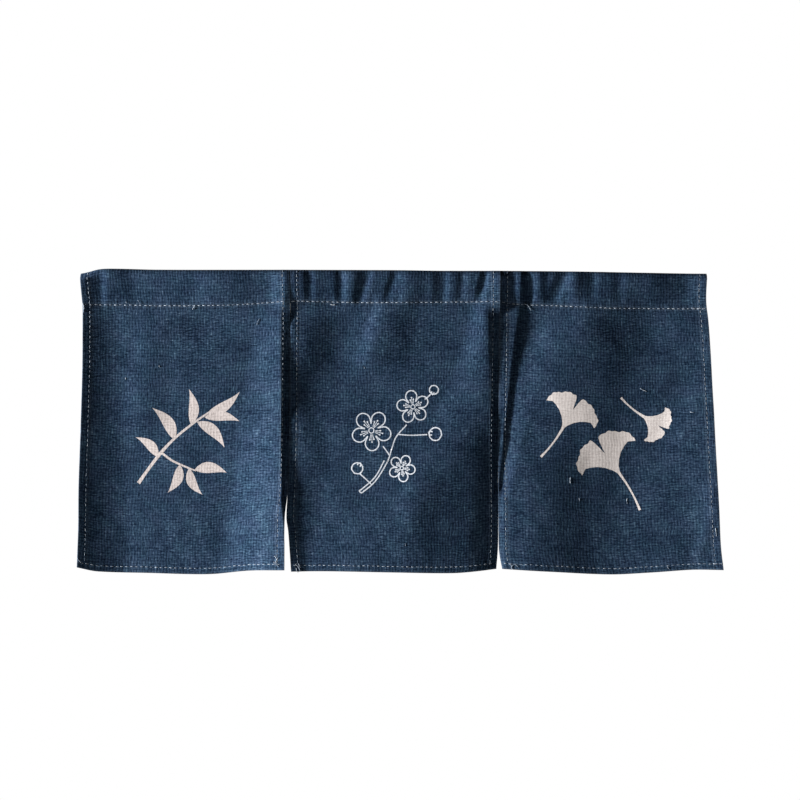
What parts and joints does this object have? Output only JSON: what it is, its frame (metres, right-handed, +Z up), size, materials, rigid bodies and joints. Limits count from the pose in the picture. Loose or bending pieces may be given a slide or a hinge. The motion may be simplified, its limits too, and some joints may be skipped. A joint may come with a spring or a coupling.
{
  "type": "noren curtain",
  "caption": "Split door curtain of indigo cloth panels that hang side by side from a rod pocket along their top, with hemmed sides and feet.",
  "frame": {"origin": "the middle of the curtain's top edge, where the cloth lies over its rod", "axes": "+X to the right as seen from the front, -Y to the front, +Z up"},
  "size_m": [0.8695, 0.0278, 0.4128],
  "materials": {
    "indigo_cloth": "matte plain weave",
    "sewing_thread": "matte twisted thread"
  },
  "bodies": {
    "root": {"panel_left": "indigo_cloth", "panel_middle": "indigo_cloth", "panel_right": "indigo_cloth"}
  },
  "joints": []
}
